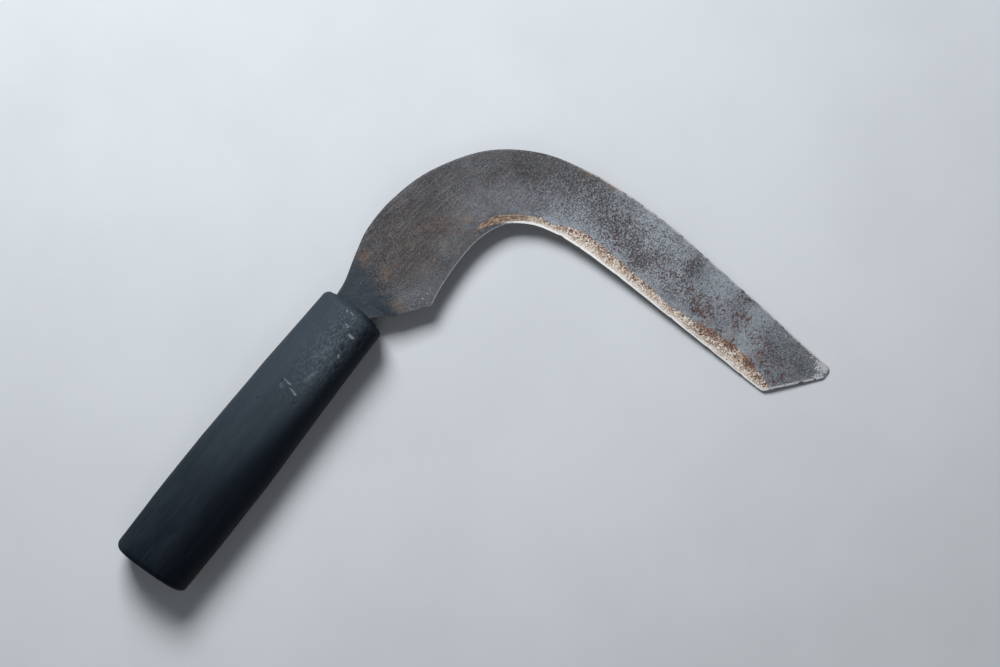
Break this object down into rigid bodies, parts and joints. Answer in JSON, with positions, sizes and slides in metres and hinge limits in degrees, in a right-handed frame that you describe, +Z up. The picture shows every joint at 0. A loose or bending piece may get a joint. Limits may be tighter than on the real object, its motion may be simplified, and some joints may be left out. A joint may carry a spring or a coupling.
{
  "type": "hand sickle",
  "caption": "Small hand sickle with a strongly hooked forged blade, cut off at a slant at the tip, on a short oval painted wooden grip.",
  "frame": {"origin": "middle of the bounding box at the surface on which the sickle lies", "axes": "+X along the grip from its butt towards the blade, +Y to the left of the grip (the blade hooks to -Y), +Z up from the surface"},
  "size_m": [0.2498, 0.1918, 0.0287],
  "materials": {
    "blade_steel": "forged, brown-grey patina with rust specks and a bare worn bevel",
    "painted_wood": "semi-matte near-black paint, worn, over hardwood",
    "pitch": "set black pitch, dull",
    "pin_steel": "painted over"
  },
  "bodies": {
    "root": {"blade": "blade_steel", "handle": "painted_wood", "tang_bedding": "pitch", "tang_pin": "pin_steel"}
  },
  "joints": []
}
